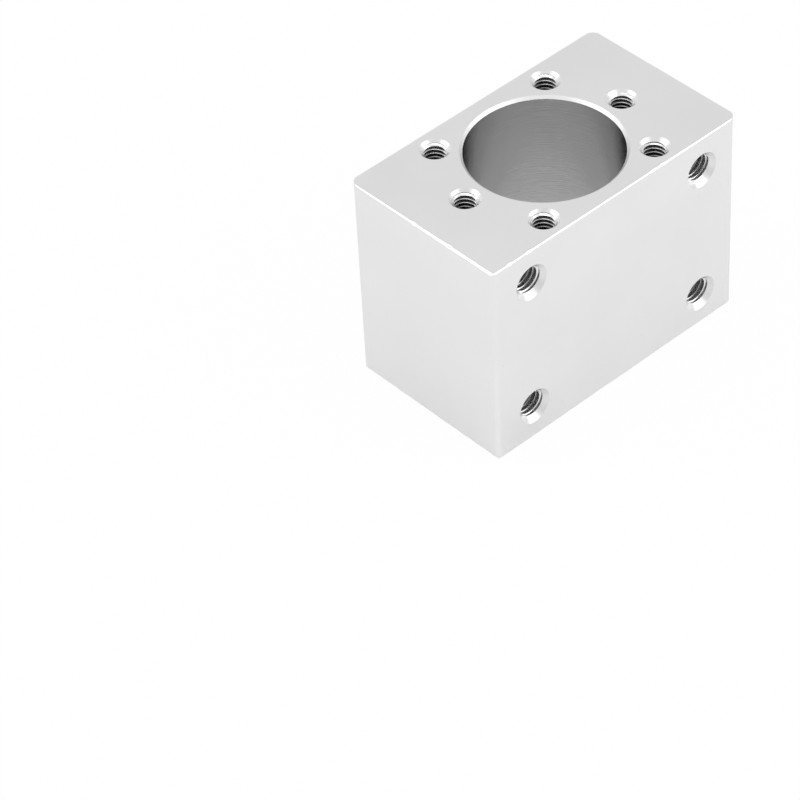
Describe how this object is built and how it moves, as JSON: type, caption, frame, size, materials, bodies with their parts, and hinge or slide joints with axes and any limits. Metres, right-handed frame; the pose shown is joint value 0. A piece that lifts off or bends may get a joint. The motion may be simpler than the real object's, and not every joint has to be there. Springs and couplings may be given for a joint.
{
  "type": "ball screw nut housing",
  "caption": "Rectangular aluminium block with a through bore for a flanged ball nut, blind tapped holes round the bore for the nut's screws and tapped fixing holes in one long side.",
  "frame": {"origin": "on the bore's axis, in the middle of the plain end face that the block stands on", "axes": "+Z along the bore, up to the flange face with the tapped holes round the bore; X along the 50 mm side; Y along the 30 mm side, with the fixing holes opening on the -Y side"},
  "size_m": [0.05, 0.03, 0.036],
  "materials": {
    "clear_anodised_aluminium": "fine satin, clear anodised, with bright machined edges"
  },
  "bodies": {
    "root": {"nut_housing": "clear_anodised_aluminium"}
  },
  "joints": []
}
